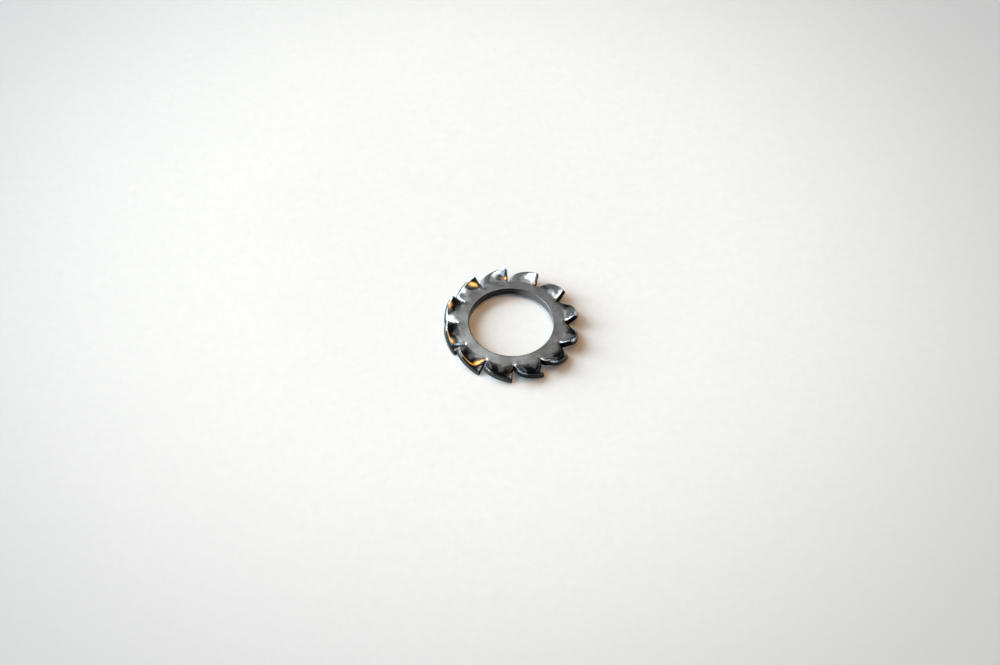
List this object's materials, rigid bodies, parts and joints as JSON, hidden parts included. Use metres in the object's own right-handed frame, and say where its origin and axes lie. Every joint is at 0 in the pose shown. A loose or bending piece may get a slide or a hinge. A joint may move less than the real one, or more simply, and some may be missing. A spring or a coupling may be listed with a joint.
{
  "type": "external tooth lock washer",
  "caption": "External tooth lock washer: a flat ring stamped from spring steel, its slit rim set into twisted teeth that bite both faces of a screwed joint.",
  "frame": {"origin": "centre of the bore, half way through the flat ring", "axes": "+Z along the bore axis, away from the surface the washer lies on; +X through the middle of one tooth; seen from +Z each tooth's raised end is its clockwise end"},
  "size_m": [0.0106, 0.0106, 0.0018],
  "materials": {
    "washer_steel": "satin stamped and tumbled spring steel, darker and shinier on the twisted teeth"
  },
  "bodies": {
    "root": {"lock_washer": "washer_steel"}
  },
  "joints": []
}
